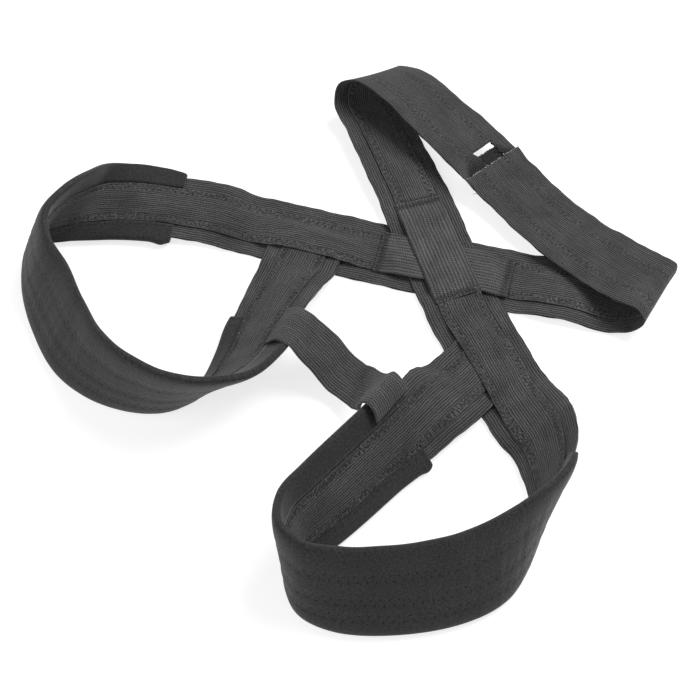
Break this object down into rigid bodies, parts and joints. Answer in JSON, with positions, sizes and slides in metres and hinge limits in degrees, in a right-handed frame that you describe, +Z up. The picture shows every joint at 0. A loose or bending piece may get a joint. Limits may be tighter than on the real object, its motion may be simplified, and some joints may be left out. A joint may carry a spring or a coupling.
{
  "type": "pelvic support belt",
  "caption": "Elastic pelvic support belt laid open: a waist loop crossed through itself at the front, padded leg loops, a short bridge strap and a crosswise slot.",
  "frame": {"origin": "middle of the laid belt's footprint, at the level of the table it lies on", "axes": "+Z up from the table; the padded leg loops are towards -X and towards -Y, and the slot in the waist strap is towards +Y"},
  "size_m": [0.4254, 0.4272, 0.0593],
  "materials": {
    "wide_elastic": "matte charcoal woven elastic with fine lengthwise ribs",
    "narrow_elastic": "matte charcoal woven elastic, zigzag sewn along both edges",
    "ribbed_elastic": "charcoal woven elastic with coarse lengthwise ribs",
    "sleeve_fabric": "black smooth knitted nylon over a thin pad, quilted in zigzag rows"
  },
  "bodies": {
    "root": {"left_wide_band": "wide_elastic", "right_wide_band": "wide_elastic", "left_leg_inner_band": "narrow_elastic", "left_waist_inner_band": "narrow_elastic", "right_waist_inner_band": "narrow_elastic", "right_leg_inner_band": "narrow_elastic", "left_crossing_patch": "ribbed_elastic", "right_crossing_patch": "ribbed_elastic", "bridge_strap": "ribbed_elastic", "left_leg_pad": "sleeve_fabric", "right_leg_pad": "sleeve_fabric"}
  },
  "joints": []
}
